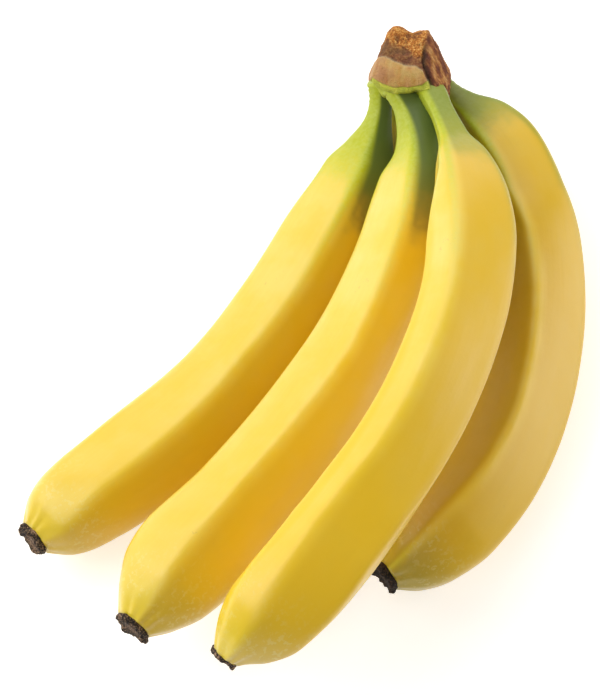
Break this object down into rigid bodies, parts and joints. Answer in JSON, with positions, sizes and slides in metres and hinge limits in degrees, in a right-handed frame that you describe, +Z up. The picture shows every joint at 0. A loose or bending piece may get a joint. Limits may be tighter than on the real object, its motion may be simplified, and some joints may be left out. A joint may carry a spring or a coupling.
{
  "type": "bunch of bananas",
  "caption": "Ripe yellow bananas with green stalks growing from one brown cut crown, lying on their side, with dry dark blossom tips.",
  "frame": {"origin": "on the table, under the middle of the bunch", "axes": "+Z up from the table, +Y towards the crown end, +X to the right when seen from the blossom-tip side"},
  "size_m": [0.1946, 0.2462, 0.0845],
  "materials": {
    "peel": "smooth waxy yellow peel with low ridges, green at the stalk and dull ochre on the shaded flanks",
    "crown_skin": "dry, matt, fibrous cut cushion, orange-brown on the cut face and dark at the rim",
    "dry_tip": "dry, ragged, dark brown flower scar"
  },
  "bodies": {
    "root": {"crown": "crown_skin", "banana_upper_left": "peel", "banana_upper_middle": "peel", "banana_upper_right": "peel", "banana_lower_right": "peel", "banana_lower_middle": "peel", "blossom_tip_upper_left": "dry_tip", "blossom_tip_upper_middle": "dry_tip", "blossom_tip_upper_right": "dry_tip", "blossom_tip_lower_right": "dry_tip", "blossom_tip_lower_middle": "dry_tip"}
  },
  "joints": []
}
